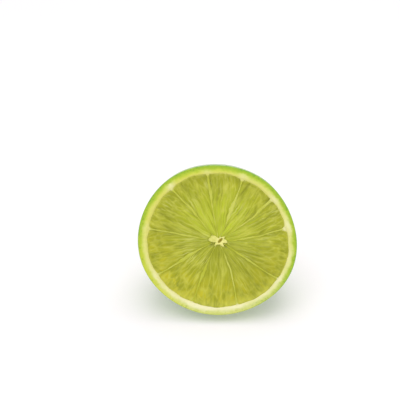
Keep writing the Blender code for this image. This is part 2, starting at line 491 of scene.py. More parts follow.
    def rind(self, share: Rows, angle: Rows) -> Rows:
        """Gives points on the rind.

        Args:
            share: 0 under the lip of the cut, 1 at the blossom end.
            angle: Angles round the fruit.

        Returns:
            The points.
        """
        power = 2 / self.fullness
        start = math.asin((self.cut_past_widest / self.half_length) ** (1 / power))
        turn = start - share * (start + math.pi / 2)
        along = self.half_length * np.sign(turn) * np.abs(np.sin(turn)) ** power
        around = (np.clip(np.cos(turn), 0, 1) / math.cos(start)) ** power
        radius = around * self.cut_radius * (1 + around * waves(self.lobes, angle))
        nipple = self.nipple_height * hump(radius, 0.0, self.nipple_radius)
        furrow = self.furrow_depth * hump(radius, self.furrow_radius, self.furrow_width)
        scar = self.scar_depth * hump(radius, 0.0, self.scar_radius)
        return polar(angle, radius, along - self.cut_past_widest - nipple + furrow + scar)


@dataclass
class Rest:
    """How the half lies: it leans back, and its resting spot is flat on the surface."""

    lean: float = 22.0
    shift: Vector = field(default_factory=Vector)

    def lean_back(self, points: Rows) -> Rows:
        """Turns points of the standing fruit to where they lie, in metres.

        Args:
            points: Points of the fruit, in millimetres.

        Returns:
            The points in the row's directions.
        """
        turn = math.radians(self.lean)
        across, up, out = points[..., 0], points[..., 1], points[..., 2]
        back = math.sin(turn) * up - math.cos(turn) * out
        high = math.cos(turn) * up + math.sin(turn) * out
        return places(across, back, high) * MM

    def settle(self, skin: Rows) -> None:
        """Finds the shift that brings the rind onto its CAD solid.

        Args:
            skin: Points of the rind.
        """
        low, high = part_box(NODE)
        leaned = self.lean_back(skin).reshape(-1, 3)
        least, most = leaned.min(axis=0), leaned.max(axis=0)
        middle = (Vector(least) + Vector(most)) / 2
        self.shift = (low + high) / 2 - middle
        self.shift.z = high.z - most[2]

    def lay(self, points: Rows) -> Rows:
        """Places points in the row's frame, none below the surface.

        Args:
            points: Points of the fruit.

        Returns:
            The placed points, in metres.
        """
        placed = self.lean_back(points) + np.array(self.shift)
        placed[..., 2] = np.maximum(placed[..., 2], 0.0)
        return placed


@dataclass
class Surface:
    """A mesh in the making: its points, faces and the values stored on its points."""

    points: list[Rows] = field(default_factory=list)
    faces: list[tuple[int, ...]] = field(default_factory=list)
    fields: dict[str, list[Rows]] = field(default_factory=dict)
    count: int = 0

    def add(self, points: Rows, **fields: Rows | float) -> int:
        """Adds points with the values stored on them.

        Args:
            points: Points, in any shape that ends in three.
            fields: One value a point, or one for all, by name. A vector has as many axes as the points.

        Returns:
            The index of the first of them.
        """
        flat = points.reshape(-1, 3)
        first = self.count
        self.points.append(flat)
        self.count += len(flat)
        for name, values in fields.items():
            wide = 3 if np.ndim(values) == np.ndim(points) else 1
            shaped = np.broadcast_to(values, points.shape if wide == 3 else points.shape[:-1])
            self.fields.setdefault(name, []).append(shaped.reshape(len(flat), wide))
        return first

    def skin_grid(self, first: int, rows: int, columns: int, wrapped: bool) -> None:
        """Covers a grid of points with four-sided faces.

        Args:
            first: The index of its first point.
            rows: Its rows.
            columns: Its columns.
            wrapped: Whether its last column joins its first.
        """
        steps = columns if wrapped else columns - 1
        for row in range(rows - 1):
            for column in range(steps):
                after = (column + 1) % columns
                low = first + row * columns
                high = low + columns
                self.faces.append((low + column, low + after, high + after, high + column))

    def cap(self, loop: Sequence[int], tip: int) -> None:
        """Closes a loop of points with a fan."""
        for index, here in enumerate(loop):
            self.faces.append((here, loop[(index + 1) % len(loop)], tip))

    def close_tube(self, first: int, rows: int, columns: int, tips: tuple[int, int]) -> None:
        """Covers a grid that goes all round, and closes both of its ends.

        Args:
            first: The index of its first point.
            rows: Its rows.
            columns: Its columns.
            tips: The points that close its first row and its last.
        """
        self.skin_grid(first, rows, columns, wrapped=True)
        for start, tip in zip((first, first + (rows - 1) * columns), tips):
            self.cap(range(start, start + columns), tip)

    def make(self, name: str, rest: Rest, material: bpy.types.Material) -> bpy.types.Object:
        """Makes the piece, places it and hands it to the frame.

        Args:
            name: The piece's name.
            rest: How the fruit lies.
            material: Its material.

        Returns:
            The piece.
        """
        placed = rest.lay(np.concatenate(self.points))
        mesh = bpy.data.meshes.new(name)
        mesh.from_pydata(placed.tolist(), [], self.faces)
        shaping = bmesh.new()
        shaping.from_mesh(mesh)
        bmesh.ops.recalc_face_normals(shaping, faces=shaping.faces)
        for face in shaping.faces:
            face.smooth = True
        shaping.to_mesh(mesh)
        shaping.free()
        for label, parts in self.fields.items():
            values = np.concatenate(parts)
            kind = "FLOAT_VECTOR" if values.shape[1] == 3 else "FLOAT"
            stored = mesh.attributes.new(label, kind, "POINT")
            stored.data.foreach_set("vector" if kind == "FLOAT_VECTOR" else "value", values.ravel())
        mesh.materials.append(material)
        piece = bpy.data.objects.new(name, mesh)
        bpy.context.scene.collection.objects.link(piece)
        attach(piece, BODY)
        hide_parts(NODE)
        return piece


@dataclass(frozen=True)
class PeelFinish:
    """Waxy green skin, and the cut through it: zest with oil glands, then cream pith."""

    skin: Tint = linear(124, 173, 48)
    skin_pale: Tint = linear(168, 199, 60)
    skin_deep: Tint = linear(86, 144, 42)
    gland: Tint = linear(122, 166, 30)
    ripe_zest: Tint = linear(216, 219, 66)
    depth_shown: float = 3.0
    # Colours of the cut from the skin inwards, by the share of depth_shown.
    green_cut: tuple[tuple[float, Tint], ...] = stops(
        (0.0, (130, 175, 42)), (0.1, (156, 190, 43)), (0.27, (170, 196, 42)), (0.43, (184, 203, 48)),
        (0.56, (200, 211, 64)), (0.68, (212, 216, 82)), (0.82, (218, 217, 94)), (0.96, (213, 212, 90)),
    )
    pale_cut: tuple[tuple[float, Tint], ...] = stops(
        (0.0, (192, 205, 92)), (0.1, (207, 214, 114)), (0.28, (216, 221, 128)), (0.43, (226, 229, 156)),
        (0.56, (237, 236, 178)), (0.68, (242, 239, 188)), (0.82, (243, 239, 188)), (0.96, (238, 234, 168)),
    )
    gland_scale: float = 900.0

    def skin_colour(self, recipe: Recipe, at: Wire, glands: Wire) -> Wire:
        """Colours the outside of the peel.

        Args:
            recipe: The material.
            at: The point's place.
            glands: Distance to the nearest oil gland.

        Returns:
            The colour.
        """
        blotch = recipe.speckle(at, 38.0, 3.0, 0.3)
        colour = recipe.mix(self.skin, self.skin_pale, blotch.rise(0.4, 0.75) * 0.8)
        colour = recipe.mix(colour, self.skin_deep, recipe.speckle(at, 75.0, 2.0).rise(0.42, 0.8) * 0.7)
        colour = recipe.mix(colour, self.skin_pale, recipe.field("tip") * 0.5)
        colour = recipe.mix(colour, self.skin_pale, recipe.speckle(at, 420.0, 2.0).rise(0.5, 0.75) * 0.3)
        return recipe.mix(colour, self.skin_deep, glands.rise(0.4, 0.1) * 0.3)

    def cut_colour(self, recipe: Recipe, at: Wire, glands: Wire) -> Wire:
        """Colours the cut through the peel, by its depth under the skin.

        Args:
            recipe: The material.
            at: The point's place.
            glands: Distance to the nearest oil gland.

        Returns:
            The colour.
        """
        wander = recipe.speckle(at, 800.0, 2.0) + recipe.speckle(at, 250.0, 2.0) - 1.0
        depth = (recipe.field("depth") + wander * 1.2) * (1 / self.depth_shown)
        green = recipe.node("ShaderNodeValToRGB", {"stops": self.green_cut}, [depth])
        pale = recipe.node("ShaderNodeValToRGB", {"stops": self.pale_cut}, [depth])
        zest, pith = recipe.field("zest"), recipe.field("pale")
        colour = recipe.mix(green, pale, zest + (pith - zest) * depth.rise(0.25, 0.6))
        colour = recipe.mix(colour, self.ripe_zest, recipe.field("ripe") * depth.rise(0.75, 0.3) * 0.55)
        in_zest = depth.rise(0.5, 0.2) * glands.rise(0.4, 0.12)
        return recipe.mix(colour, self.gland, in_zest * (0.5 - zest * 0.22))

    def material(self) -> bpy.types.Material:
        """Mixes the material.

        Returns:
            The material.
        """
        recipe = Recipe("peel")
        at = recipe.place()
        glands = recipe.pores(at, self.gland_scale)
        on_cut = recipe.field("depth").rise(0.02, 0.12)
        skin, cut = self.skin_colour(recipe, at, glands), self.cut_colour(recipe, at, glands)
        fibre = recipe.speckle(at, 1500.0, 3.0)
        dimples = recipe.bump(glands.rise(0.0, 0.5), 0.5, 0.00015)
        return recipe.finish(
            Base_Color=recipe.mix(skin, cut, on_cut),
            Roughness=0.3 + on_cut * 0.26 + (fibre - 0.5) * 0.15,
            Normal=recipe.bump(fibre, 0.25, 0.00005, dimples),
            Specular_IOR_Level=0.4,
            Coat_Weight=0.3 - on_cut * 0.26,
            Coat_Roughness=0.18,
            Subsurface_Weight=0.12,
            Subsurface_Radius=(1.0, 0.9, 0.3),
            Subsurface_Scale=0.0015,
        )


@dataclass(frozen=True)
class PulpFinish:
    """Moist, translucent flesh: olive to yellow-green vesicles between paler walls."""

    deep: Tint = linear(138, 142, 16)
    olive: Tint = linear(150, 155, 18)
    fresh: Tint = linear(170, 175, 26)
    glow_lit: Tint = linear(195, 209, 48)
    golden: Tint = linear(203, 194, 30)
    wall: Tint = linear(204, 206, 80)
    frosted: Tint = linear(210, 213, 112)

    def material(self) -> bpy.types.Material:
        """Mixes the material.

        Returns:
            The material.
        """
        recipe = Recipe("pulp")
        grain = recipe.vector_field("grain")
        broad = recipe.speckle(recipe.place(), 260.0, 3.0, 0.5)
        ripe, frost = recipe.field("ripe"), recipe.field("frost")
        streak = recipe.speckle(grain, 1.3, 2.5, 0.5)
        fine = recipe.speckle(grain, 4.0, 3.0)
        tone = recipe.field("cell") * 0.4 + streak.rise(0.32, 0.68) * 0.5 + broad.rise(0.3, 0.7) * 0.5 - 0.2
        colour = recipe.mix(self.olive, self.fresh, tone.clamp())
        # Painted light: the glow field brightens the flesh where the translucent pulp looks lit.
        colour = recipe.mix(colour, self.glow_lit, recipe.field("glow") * (0.35 + streak.rise(0.3, 0.7) * 0.6))
        gold = broad.rise(0.35, 0.65) * 0.6 + streak.rise(0.35, 0.7) * 0.4
        colour = recipe.mix(colour, self.golden, ripe * gold)
        wall = recipe.field("wall") * (broad + streak - 0.35).clamp()
        pale = (streak.rise(0.56, 0.76) * broad.rise(0.4, 0.7) * 0.7 + wall * 0.9).clamp()
        colour = recipe.mix(colour, self.wall, pale)
        gloom = streak.rise(0.46, 0.26) * broad.rise(0.62, 0.35)
        # Painted shade: the shade field darkens the flesh towards the deep colour.
        dark = gloom * (0.7 - ripe * 0.25 + frost * 0.5) + recipe.field("shade")
        colour = recipe.mix(colour, self.deep, dark.clamp() * 0.85)
        strand = recipe.speckle(grain, 2.6, 1.0, 0.3)
        lit = strand.rise(0.5, 0.62) * (frost * 0.75 + 0.04)
        colour = recipe.mix(colour, self.frosted, lit)
        return recipe.finish(
            Base_Color=colour,
            Roughness=0.32 + (fine - 0.5) * 0.2,
            Normal=recipe.bump(fine, 0.25, 0.00012),
            Specular_IOR_Level=0.35,
            Coat_Weight=0.08,
            Coat_Roughness=0.15,
            Subsurface_Weight=0.25,
            Subsurface_Radius=(1.0, 1.0, 0.25),
            Subsurface_Scale=0.002,
        )


@dataclass(frozen=True)
class PithFinish:
    """Soft cream tissue of the membranes and the core."""

    name: str
    faint: Tint = linear(184, 190, 44)
    thin: Tint = linear(205, 209, 92)
    green_pith: Tint = linear(216, 215, 92)
    pale_pith: Tint = linear(240, 236, 176)
    cream: Tint = linear(243, 238, 148)
    # Painted shade: the darker colour of the core's slit.
    hollow: Tint = linear(186, 172, 62)

    def material(self) -> bpy.types.Material:
        """Mixes the material.

        Returns:
            The material.
        """
        recipe = Recipe(self.name)
        at = recipe.place()
        soft = recipe.speckle(at, 500.0, 3.0)
        clear = recipe.field("clear") * (recipe.speckle(at, 190.0, 2.0).rise(0.35, 0.6) * 0.7 + 0.3)
        colour = recipe.mix(self.faint, self.thin, clear)
        pith = recipe.mix(self.green_pith, self.pale_pith, recipe.field("pale"))
        colour = recipe.mix(colour, pith, recipe.field("thick"))
        cream = recipe.field("cream") * ((soft - 0.5) * 0.8 + 1.0)
        colour = recipe.mix(colour, self.cream, cream.clamp())
        colour = recipe.mix(colour, self.hollow, recipe.field("hollow"))
        return recipe.finish(
            Base_Color=colour,
            Roughness=0.42 + (soft - 0.5) * 0.2,
            Normal=recipe.bump(soft, 0.3, 0.0001),
            Specular_IOR_Level=0.3,
            Coat_Weight=0.05,
            Coat_Roughness=0.2,
            Subsurface_Weight=0.2,
            Subsurface_Radius=(1.0, 1.0, 0.4),
            Subsurface_Scale=0.0015,
        )


@dataclass
class Peel:
    """The rind with its cut edge: one closed shell from the blossom end round the lip to the inside."""

    fruit: Fruit
    columns: int = 480
    skin_rows: int = 112
    lip_rows: int = 4
    cut_rows: int = 13
    wall_rows: int = 3
    bowl_rows: int = 10
    lip_gather: float = 0.3
    wall_top: float = 0.3
    wall_step: float = 0.5
    wall_slope: float = 0.02
    pebble: float = 0.05
    pebble_scale: float = 0.62
    dent: float = 0.1
    dent_scale: float = 0.12
    swell: float = 0.12
    swell_count: int = 4
    swell_twist: float = 5.0
    # Unevenness of the cut: height and frequency.
    cut_relief: Table = ((0.05, 1.1), (0.03, 2.7))
    pith_rise: float = 0.1
    pith_dip: float = 0.25
    # Pale and yellow zest: an angle, and the cosines where the rise towards it starts and ends.
    pale_zest: tuple[float, float, float] = (268.0, 0.3, 1.0)
    ripe_zest: tuple[float, float, float] = (212.0, 0.75, 1.0)

    def angles(self) -> Rows:
        """Gives the angles of the columns."""
        return np.linspace(0, 360, self.columns, endpoint=False)

    def bowl_depth(self) -> float:
        """Gives how deep the hollow behind the pulp is."""
        return self.fruit.half_length - self.fruit.cut_past_widest - self.fruit.pulp_margin

    def skin(self) -> Rows:
        """Shapes the outside, blossom end first.

        Returns:
            Its points, in rows.
        """
        shares = np.linspace(1, 0, self.skin_rows + 1)[1:, None]
        shares = shares * (1 + self.lip_gather * (1 - shares))
        angle = self.angles()[None, :]
        points = self.fruit.rind(shares, angle)
        swell = self.swell * np.sin(np.radians(self.swell_count * angle) + self.swell_twist * shares)
        swell = swell * np.sin(math.pi * shares)
        bumps = np.array([self.bump_at(point) for point in points.reshape(-1, 3)]).reshape(swell.shape)
        size = np.linalg.norm(points, axis=-1, keepdims=True)
        return points * (1 + ((swell + bumps) * smooth(0.0, 0.05, shares))[..., None] / size)

    def bump_at(self, point: Rows) -> float:
        """Gives the height of the skin's pebbling and broad dents at a point."""
        near = noise.voronoi(Vector(point) * self.pebble_scale)[0][0]
        return self.pebble * (0.5 - near) + self.dent * noise.noise(Vector(point) * self.dent_scale)

    def cut(self) -> tuple[Rows, Rows]:
        """Shapes the lip and the cut through the peel.

        Returns:
            Its points, in rows from the lip inwards, and their depths under the skin.
        """
        lip, angle = self.fruit.lip, self.angles()
        outline, edge = self.fruit.outline(angle), self.fruit.pith_edge(angle)
        rows, depths = [], []
        for turn in np.linspace(0, math.pi / 2, self.lip_rows + 1):
            inset = lip * (1 - math.cos(turn))
            rows.append(polar(angle, outline - inset, lip * (math.sin(turn) - 1)))
            depths.append(np.full_like(angle, inset))
        for share in np.linspace(0, 1, self.cut_rows + 1)[1:]:
            radius = (outline - lip) * (1 - share) + edge * share
            flat = polar(angle, radius, 0.0)
            relief = sum(height * roughness(flat * count) for height, count in self.cut_relief)
            rise = self.pith_rise * smooth(1.0, 1.6, outline - radius)
            rise -= self.pith_dip * smooth(0.85, 1.0, share)
            rows.append(polar(angle, radius, rise + relief))
            depths.append(outline - radius)
        return np.stack(rows), np.stack(depths)

    def inside(self) -> Rows:
        """Shapes the wall under the pith's edge and the bowl behind the pulp.

        Returns:
            Its points, in rows from the edge to the bottom.
        """
        angle = self.angles()
        edge = self.fruit.pith_edge(angle)
        top = self.wall_step * self.wall_rows + self.wall_top
        rows = []
        for step in range(1, self.wall_rows + 1):
            rows.append(polar(angle, edge + self.wall_slope * step, -self.wall_step * step - self.wall_top))
        for turn in np.linspace(0, math.pi / 2, self.bowl_rows + 1)[1:-1]:
            down = top + (self.bowl_depth() - top) * math.sin(turn)
            rows.append(polar(angle, edge * math.cos(turn), -down))
        return np.stack(rows)

    def build(self, rest: Rest, finish: PeelFinish) -> bpy.types.Object:
        """Builds and dresses the peel.

        Args:
            rest: How the fruit lies. It is settled on the CAD solid here.
            finish: The peel's finish.

        Returns:
            The piece.
        """
        skin = self.skin()
        rest.settle(skin)
        (cut, depths), inner = self.cut(), self.inside()
        angle, deep = self.angles(), self.fruit.pulp_margin
        tip = smooth(11.0, 3.0, np.hypot(skin[..., 0], skin[..., 1]))
        plain = {"pale": 0.0, "zest": 0.0, "ripe": 0.0}
        tones = {
            "pale": self.fruit.pith_paleness(angle),
            "zest": toward(angle, *self.pale_zest),
            "ripe": toward(angle, *self.ripe_zest),
        }
        shell = Surface()
        blossom = shell.add(self.fruit.rind(1.0, 0.0), depth=0.0, tip=1.0, **plain)
        first = shell.add(skin[:-1], depth=0.0, tip=tip[:-1], **tones)
        shell.add(cut, depth=depths, tip=0.0, **tones)
        shell.add(inner, depth=deep, tip=0.0, **tones)
        bottom = shell.add(np.array([0.0, 0.0, -self.bowl_depth()]), depth=deep, tip=0.0, **plain)
        rows = len(skin) - 1 + len(cut) + len(inner)
        shell.close_tube(first, rows, self.columns, (blossom, bottom))
        return shell.make("peel", rest, finish.material())


@dataclass
class PulpSegment:
    """One segment's pulp: a closed body whose cut face is ridged with juice vesicles."""

    fruit: Fruit
    number: int
    rows: int = 92
    columns: int = 52
    tuck: float = 0.12
    core_tuck: float = 0.15
    row_gather: float = 0.92
    least_turn: float = 0.5
    dome: float = 0.1
    edge_dip: float = 0.1
    core_dip: float = 0.15
    pit_depth: float = 0.35
    vesicle_width: float = 1.5
    vesicle_spread: float = 0.65
    vesicle_length: float = 8.0
    vesicle_rise: float = 0.17
    crowding_from: float = 14.0
    crowding: float = 85.0
    # How the vesicles bend and lean, and the walls between them.
    bend: tuple[float, float] = (0.4, 0.45)
    bend_count: float = 0.6
    lean: float = 0.6
    lean_count: float = 0.28
    vesicle_radius: float = 0.75
    wall_width: float = 0.28
    wall_sharpness: float = 1.3
    wall_dip: float = 0.35
    cell_scatter: float = 41.3
    grain_length: float = 0.5
    grain_lean: float = 0.5
    grain_bow: float = 0.22
    bow_count: float = 0.7
    # Round spots of the face: the place across and up, the size and the strength. They are sunk a little and
    # painted dark, a painted shade in the pits.
    pits: Table = (
        (-2.1, -1.3, 0.8, 0.9), (2.6, -1.9, 0.7, 0.8), (0.3, -1.9, 0.9, 0.25), (-2.3, 1.9, 0.6, 0.4),
    )
    frosts: Table = (
        (5.0, 11.0, 2.6, 1.0), (-10.1, -5.0, 2.6, 1.0), (-9.6, 1.4, 2.4, 0.65), (-4.8, 0.9, 1.6, 0.55),
        (-12.0, 4.8, 1.7, 0.6), (-4.3, -7.4, 1.9, 0.8), (-9.1, 12.0, 2.4, 0.7), (-3.6, 18.6, 1.8, 0.6),
        (1.5, 19.5, 2.2, 0.4), (19.0, 9.6, 2.6, 0.6), (16.5, 1.8, 2.0, 0.7), (9.0, -5.6, 2.2, 0.6),
        (-17.5, 11.5, 2.6, 0.5),
    )
    # Oval spots: the place across and up, the width, the height and the strength.
    # Painted light: glowing ovals where the translucent flesh looks brighter.
    painted_glows: Table = ((0.0, 7.5, 13.0, 10.5, 1.0), (1.5, 4.0, 3.5, 3.0, 0.45))
    # Painted shadow: a dark oval on the flesh below the core.
    painted_core_shadow: Table = ((-1.0, -3.8, 5.4, 4.5, 0.4),)
    # Sectors painted in a little shade: middle, width and strength, and the radii where it starts and is
    # full.
    dusks: Table = (
        (317.0, 32.0, 0.36, 5.0, 9.0), (98.0, 24.0, 0.17, 11.0, 17.0), (168.0, 26.0, 0.17, 4.0, 8.0),
    )
    top_shade: float = 0.35
    side_shade: float = 0.17
    rim_paleness: float = 0.9
    wall_rings: int = 7
    first_drop: float = 0.3
    keel_radius: float = 11.5
    keel_depth: float = 18.0

    def face(self) -> tuple[Rows, Rows]:
        """Lays out the cut face in rows from the core to the pith.

        Returns:
            The radius and the angle of each point.
        """
        fruit = self.fruit
        start, end = fruit.span(self.number)
        across = np.linspace(0, 1, self.columns)[None, :]
        inner = fruit.core_edge(start + across * (end - start)) - self.core_tuck
        outer = np.full_like(inner, fruit.cut_radius - fruit.pulp_margin)
        for _ in range(2):
            outer = fruit.pulp_edge(self.number, self.between(outer, across)) + self.tuck
        reach = np.linspace(0, 1, self.rows)[:, None] ** self.row_gather
        radius = inner + reach * (outer - inner)
        return radius, self.between(radius, across)

    def between(self, radius: Rows, across: Rows) -> Rows:
        """Gives angles between the two membranes.

        Args:
            radius: Radii.
            across: The share across the segment, from 0 to 1.

        Returns:
            The angles.
        """
        sides = (self.number, self.number + 1)
        low, high = (self.fruit.membrane_angle(side, radius) for side in sides)
        after, before = ((self.fruit.membrane_half(side, radius) - self.tuck) / radius for side in sides)
        low, high = low + np.degrees(after), high - np.degrees(before)
        middle = (low + high) / 2
        low, high = np.minimum(low, middle - self.least_turn), np.maximum(high, middle + self.least_turn)
        return low + across * (high - low)

    def vesicles(self, radius: Rows) -> dict[str, Rows]:
        """Draws the vesicles, long cells that run outwards and crowd together near the pith.

        Args:
            radius: The face's radii.

        Returns:
            Each point's height, wall, cell tone and grain.
        """
        start, end = self.fruit.span(self.number)
        fan = np.radians((np.linspace(0, 1, self.columns) - 0.5) * (end - start))
        reach = radius / self.fruit.cut_radius
        side = fan * self.fruit.cut_radius * reach**self.vesicle_spread / self.vesicle_width
        along = radius / self.vesicle_length + np.maximum(radius - self.crowding_from, 0) ** 2 / self.crowding
        height, wall, cell = (np.zeros_like(radius) for _ in range(3))
        grain = places(side, along * self.grain_length, GRAIN_STEP * self.number)
        for index in np.ndindex(radius.shape):
            point = Vector((side[index], along[index], VESICLE_STEP * self.number))
            bend = noise.noise_vector(point * self.bend_count)
            lean = noise.noise(point * self.lean_count)
            point += Vector((self.bend[0] * bend.x + self.lean * lean, self.bend[1] * bend.y, 0))
            distances, centres = noise.voronoi(Vector((point.x, point.y, self.number)))
            gap = min(1.0, (distances[1] - distances[0]) / self.wall_width)
            height[index] = 1 - min(1.0, distances[0] / self.vesicle_radius) ** 2
            wall[index] = (1 - gap) ** self.wall_sharpness
            cell[index] = 0.5 + 0.5 * noise.cell(centres[0] * self.cell_scatter)
            bow = self.grain_bow * noise.noise(point * self.bow_count)
            grain[index] += (self.grain_lean * lean + bow, 0, 0)
        return {"height": height, "wall": wall, "cell": cell, "grain": grain}

    @staticmethod
    def spots(points: Rows, placed: Table) -> Rows:
        """Gives a few soft spots on the face, each of one size or of a width and a height."""
        return sum(share * oval(points, x, y, size[0], size[-1]) for x, y, *size, share in placed)

    @staticmethod
    def ripeness(radius: Rows, angle: Rows) -> Rows:
        """Gives where the flesh turns golden, out towards the lower pith."""
        return (0.15 + 0.85 * toward(angle, 262.0, -0.3, 0.9)) * smooth(9.0, 22.0, radius)

    def duskiness(self, radius: Rows, angle: Rows) -> Rows:
        """Gives where the flesh is painted a little in shade.

        Args:
            radius: The face's radii.
            angle: Its angles.

        Returns:
            Values from 0 to 1.
        """
        dusk = np.zeros_like(radius)
        for middle, width, share, start, full in self.dusks:
            dusk += share * round_hump(angle, middle, width) * smooth(start, full, radius)
        return dusk

    def build(self, rest: Rest, material: bpy.types.Material) -> bpy.types.Object:
        """Builds and dresses the segment.

        Args:
            rest: How the fruit lies.
            material: The pulp's material.

        Returns:
            The piece.
        """
        radius, angle = self.face()
        drawn = self.vesicles(radius)
        beside = np.radians(np.minimum(angle - angle[:, :1], angle[:, -1:] - angle)) * radius
        below_pith = radius[-1:, :] - radius
        off = np.minimum(beside, below_pith)
        inwards = smooth(0.0, 1.0, off)
        flat = polar(angle, radius, 0.0)
        # The pits are sunk into the face and also painted dark as their shade.
        pitted = np.clip(self.spots(flat, self.pits), 0, 1)
        height = self.edge_dip * (inwards - 1) + self.dome * smooth(0.0, 3.5, off) - self.pit_depth * pitted
        height -= self.core_dip * smooth(0.7, 0.0, radius - radius[:1, :])
        height += self.vesicle_rise * (drawn["height"] - 0.5 - self.wall_dip * drawn["wall"]) * inwards
        rim = self.rim_paleness * smooth(0.75, 0.1, below_pith)
        rim = np.maximum(rim, smooth(3.4, 0.8, below_pith) * toward(angle, 282.0, 0.3, 1.0))
        # Painted shade: darker flesh under the pith at the top, beside the membranes, in a few sectors, in
        # the pits and below the core.
        dark_top = self.top_shade * toward(angle, 90.0, 0.2, 0.9) * smooth(4.0, 0.3, below_pith)
        dark_side = self.side_shade * hump(beside, 0.55, 0.35) * smooth(1.0, 5.0, radius)
        dusky = self.duskiness(radius, angle) * smooth(0.4, 2.4, below_pith)
        shade = (dark_top + dark_side) * (1 - rim) + dusky + self.spots(flat, self.painted_core_shadow) + pitted
        points = polar(angle, radius, height)
        body = Surface()
        first = body.add(
            points,
            cell=drawn["cell"],
            wall=np.maximum(drawn["wall"] * inwards, rim),
            grain=drawn["grain"],
            glow=self.spots(flat, self.painted_glows),
            frost=np.clip(self.spots(flat, self.frosts), 0, 1),
            ripe=self.ripeness(radius, angle),
            shade=np.clip(shade, 0, 1),
        )
        body.skin_grid(first, self.rows, self.columns, wrapped=False)
        self.add_keel(body, points)
        return body.make(f"pulp_{self.number + 1:02d}", rest, material)

    def rim(self) -> list[int]:
        """Lists the face's outer points in order round it.

        Returns:
            Their indexes.
        """
        grid = np.arange(self.rows * self.columns).reshape(self.rows, self.columns)
        parts = (grid[0, :], grid[1:, -1], grid[-1, -2::-1], grid[-2:0:-1, 0])
        return [int(index) for index in np.concatenate(parts)]

    def add_keel(self, body: Surface, points: Rows) -> None:
        """Closes the segment below its face, down to a keel deep in the fruit.

        Args:
            body: The mesh in the making, with the face added first.
            points: The face's points.
        """
        above = self.rim()
        edge = points.reshape(-1, 3)[above]
        keel = polar(sum(self.fruit.span(self.number)) / 2, self.keel_radius, -self.keel_depth)
        plain = {"cell": 0.5, "wall": 0.0, "glow": 0.0, "frost": 0.0, "ripe": 0.0, "shade": 0.0}
        for ring in range(1, self.wall_rings + 1):
            share = ring / (self.wall_rings + 1)
            lowered = keel + (edge - keel) * (1 - share**2.2)
            lowered[:, 2] = -self.first_drop - (self.keel_depth - self.first_drop) * share**0.9
            first = body.add(lowered, grain=np.zeros_like(lowered), **plain)
            below = list(range(first, first + len(above)))
            for index, here in enumerate(above):
                after = (index + 1) % len(above)
                body.faces.append((here, above[after], below[after], below[index]))
            above = below
        body.cap(above, body.add(keel, grain=np.zeros_like(keel), **plain))


@dataclass
class Web:
    """The membranes between the segments: thin walls that flare into the pith at their outer ends."""

    fruit: Fruit
    steps: int = 90
    rise: float = 0.07
    rise_change: float = 0.05
    flare_dip: float = 0.7
    overlap: float = 0.25
    depth: float = 3.0
    side_depth: float = 0.12
    # The section: places across as shares of the half width, and heights as shares of the crest.
    sides: tuple[float, ...] = (-1.0, -1.0, -0.6, 0.0, 0.6, 1.0, 1.0)
    heights: tuple[float, ...] = (0.75, 1.0, 0.75)

    def section(self, number: int) -> tuple[Rows, dict[str, Rows | float]]:
        """Shapes one membrane as rows of points across it.

        Args:
            number: The membrane's number.

        Returns:
            Its points, and how thick, clear, cream and pale it is there, from 0 to 1.
        """
        fruit, foot = self.fruit, self.fruit.foot(number)
        angle = fruit.membranes[number]
        outer = foot + fruit.corners[number] + self.overlap
        radius = np.linspace(fruit.core_edge(angle) * 0.6, outer, self.steps)[:, None]
        flare = fruit.flare(number, radius)
        crest = (self.rise + self.rise_change * np.sin(radius * 1.3 + number)) * smooth(0.0, 9.0, radius)
        crest = crest * (1 - self.flare_dip * smooth(0.05, 0.4, flare))
        low = [np.full_like(crest, -self.depth), np.full_like(crest, -self.side_depth)]
        out = np.hstack([*low, *[height * crest for height in self.heights], *low[::-1]])
        spread = np.array(self.sides) * fruit.membrane_half(number, radius) / radius
        turn = fruit.membrane_angle(number, radius) + np.degrees(spread)
        return polar(turn, radius, out), {
            "thick": np.maximum(smooth(0.1, 0.5, flare), smooth(foot - 0.2, foot + 0.2, radius)),
            "clear": fruit.bands[number][2] * (0.25 + 0.65 * smooth(3.0, 9.0, radius)),
            "cream": 0.4 * smooth(3.4, 2.0, radius),
            "pale": fruit.pith_paleness(angle),
        }

    def build(self, rest: Rest, finish: PithFinish) -> bpy.types.Object:
        """Builds and dresses the membranes.

        Args:
            rest: How the fruit lies.
            finish: Their finish.

        Returns:
            The piece.
        """
        walls = Surface()
        for number in range(len(self.fruit.membranes)):
            points, fields = self.section(number)
            first, across = walls.add(points, hollow=0.0, **fields), len(self.sides)
            walls.skin_grid(first, self.steps, across, wrapped=True)
            for start in (first, first + (self.steps - 1) * across):
                walls.faces.append(tuple(range(start, start + across)))
        return walls.make("membranes", rest, finish.material())


